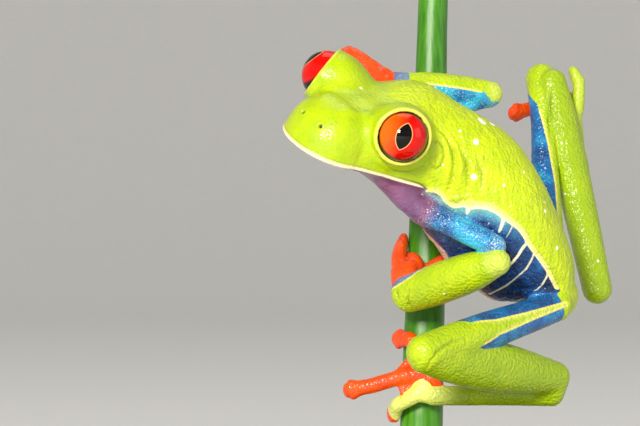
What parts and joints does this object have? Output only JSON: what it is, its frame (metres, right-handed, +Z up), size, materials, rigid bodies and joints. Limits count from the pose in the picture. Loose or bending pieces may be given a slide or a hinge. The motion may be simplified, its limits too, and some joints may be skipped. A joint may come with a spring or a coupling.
{
  "type": "red-eyed tree frog",
  "caption": "Life-size still model of a red-eyed tree frog gripping a cut stem, head turned to its left, hind legs splayed, held on a round flat base by a short rod.",
  "frame": {"origin": "centre of the underside of the stand's round base", "axes": "+Z up; +Y away from the viewer who sees the frog's left side; +X to the side of the frog's back"},
  "size_m": [0.054, 0.054, 0.069],
  "materials": {
    "skin": "moist, finely granular lime-green frog skin",
    "skin_blue": "moist smooth blue skin of the flash surfaces",
    "skin_orange": "moist smooth orange skin of hands and feet",
    "skin_pale": "moist cream skin of the lower jaw and throat",
    "eye": "wet glossy red iris with a black slit pupil",
    "plant_stem": "waxy green living plant stem",
    "stand_wood": "black-stained satin hardwood",
    "stand_steel": "brushed stainless steel"
  },
  "bodies": {
    "root": {"eye_left": "eye", "eye_right": "eye", "finger_left_1": "skin_orange", "finger_left_2": "skin_orange", "finger_left_3": "skin_orange", "finger_left_4": "skin_orange", "finger_right_1": "skin_orange", "finger_right_2": "skin_orange", "finger_right_3": "skin_orange", "finger_right_4": "skin_orange", "foot_left": "skin_orange", "foot_right": "skin_orange", "forearm_left": "skin", "forearm_right": "skin", "hand_left": "skin_orange", "hand_right": "skin_orange", "head": "skin", "lower_jaw": "skin_pale", "perch_stem": "plant_stem", "rump": "skin", "shank_left": "skin", "shank_right": "skin", "stand_base": "stand_wood", "stand_rod": "stand_steel", "tarsus_left": "skin", "tarsus_right": "skin", "thigh_left": "skin_blue", "thigh_right": "skin_blue", "toe_left_1": "skin_orange", "toe_left_2": "skin_orange", "toe_left_3": "skin_orange", "toe_left_4": "skin_orange", "toe_left_5": "skin_orange", "toe_right_1": "skin_orange", "toe_right_2": "skin_orange", "toe_right_3": "skin_orange", "toe_right_4": "skin_orange", "toe_right_5": "skin_orange", "trunk": "skin", "tympanum_left": "skin", "tympanum_right": "skin", "upper_arm_left": "skin_blue", "upper_arm_right": "skin_blue"}
  },
  "joints": []
}
